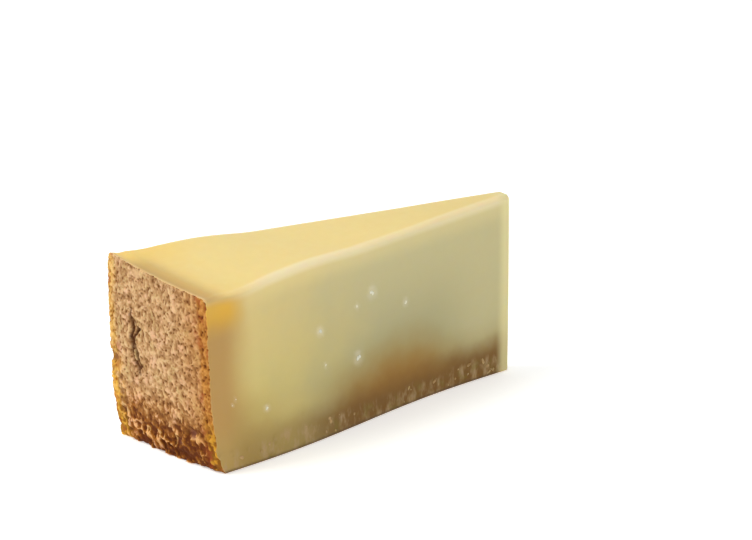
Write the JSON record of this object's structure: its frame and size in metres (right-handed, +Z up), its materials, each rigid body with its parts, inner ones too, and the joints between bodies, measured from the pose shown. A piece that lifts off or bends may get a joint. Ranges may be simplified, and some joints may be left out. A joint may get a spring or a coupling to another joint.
{
  "type": "gruyere cheese",
  "caption": "Tall trimmed wedge of hard alpine cheese with a craggy brown rind on its heel, smooth cut faces and a flat base to rest on.",
  "frame": {"origin": "on the resting face, under the middle of the bounding box", "axes": "+Z up from the resting face, +X from the rind heel towards the narrow tip, +Y to the left of someone looking from the heel to the tip"},
  "size_m": [0.2604, 0.0944, 0.1111],
  "materials": {
    "cheese": "cut cheese paste, smooth and slightly waxy, pale straw yellow that turns golden beside the rind; craggy light brown rind on the heel, rusty brown towards the foot"
  },
  "bodies": {
    "root": {"cheese_wedge": "cheese"}
  },
  "joints": []
}
